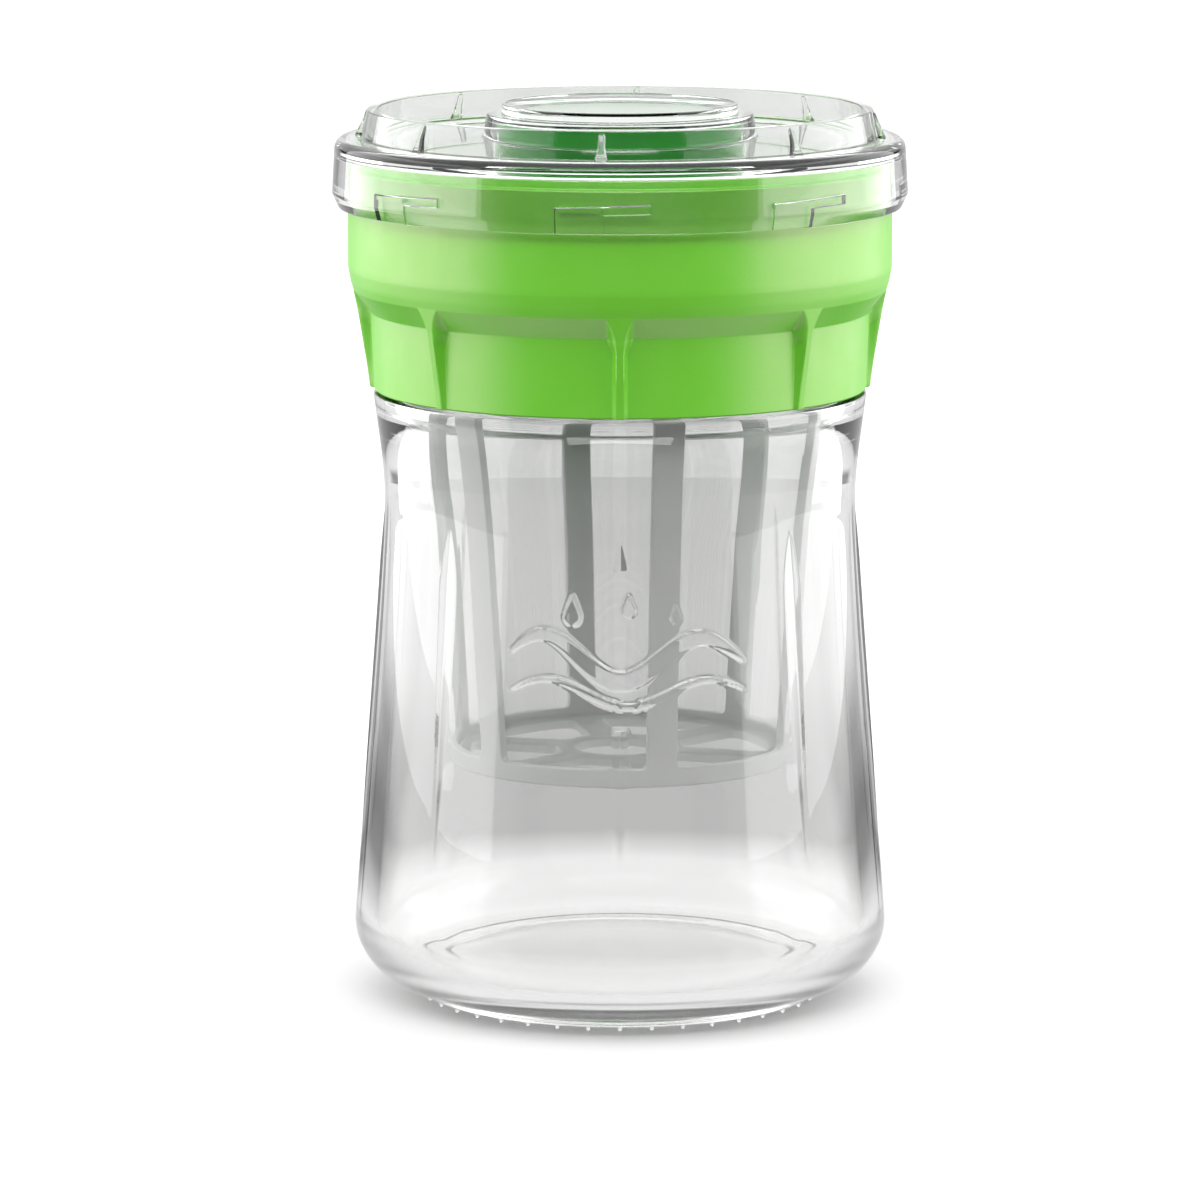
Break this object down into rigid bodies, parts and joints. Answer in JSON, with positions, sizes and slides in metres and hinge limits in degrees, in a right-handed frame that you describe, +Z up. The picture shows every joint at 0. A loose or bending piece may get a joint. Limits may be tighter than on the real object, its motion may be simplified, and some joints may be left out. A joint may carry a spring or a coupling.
{
  "type": "kefir cheese maker",
  "caption": "Glass jar with a screw collar that holds a hanging fine-mesh strainer, and a clear bayonet lid with a spring press that drains whey from kefir curd.",
  "frame": {"origin": "centre of the jar's foot, on the surface it stands on", "axes": "+Z up along the jar's axis, -Y towards the front of the picture, +X to the right"},
  "size_m": [0.11, 0.11, 0.1723],
  "materials": {
    "clear_glass": "polished clear glass",
    "clear_plastic": "polished clear moulded plastic",
    "lime_plastic": "satin moulded plastic",
    "grey_plastic": "satin moulded plastic",
    "fine_mesh": "fine woven food mesh",
    "silicone": "matte food silicone",
    "spring_steel": "bright drawn stainless wire"
  },
  "bodies": {
    "jar": {"jar": "clear_glass"},
    "collar_gasket": {"collar_gasket": "silicone"},
    "collar": {"collar": "lime_plastic"},
    "strainer": {"strainer_frame": "grey_plastic", "strainer_mesh_wall": "fine_mesh", "strainer_mesh_floor": "fine_mesh"},
    "press_housing": {"press_housing": "lime_plastic", "press_spring": "spring_steel"},
    "lid": {"lid": "clear_plastic", "lid_seal": "silicone"},
    "press_plate": {"press_plate": "lime_plastic"}
  },
  "joints": [
    {"name": "collar_lift", "type": "slide", "parent": "jar", "child": "collar_gasket", "axis": [0, 0, 1], "range_m": [0, 0.006]},
    {"name": "collar_turn", "type": "hinge", "parent": "collar_gasket", "child": "collar", "pos_m": [0, 0, 0.14], "axis": [0, 0, 1], "range_deg": [0, 360]},
    {"name": "strainer_lift", "type": "slide", "parent": "collar", "child": "strainer", "axis": [0, 0, 1], "range_m": [0, 0.12]},
    {"name": "lid_lift", "type": "slide", "parent": "strainer", "child": "press_housing", "axis": [0, 0, 1], "range_m": [0, 0.06]},
    {"name": "lid_turn", "type": "hinge", "parent": "press_housing", "child": "lid", "pos_m": [0, 0, 0.16], "axis": [0, 0, 1], "range_deg": [-9.4, 0]},
    {"name": "press_travel", "type": "slide", "parent": "press_housing", "child": "press_plate", "axis": [0, 0, 1], "range_m": [0, 0.018], "stiffness_N_per_m": 300, "deforming": ["press_spring"]}
  ],
  "couplings": [
    {"joint": "collar_lift", "follows": "collar_turn", "m_per_rad": 0.0009549}
  ]
}
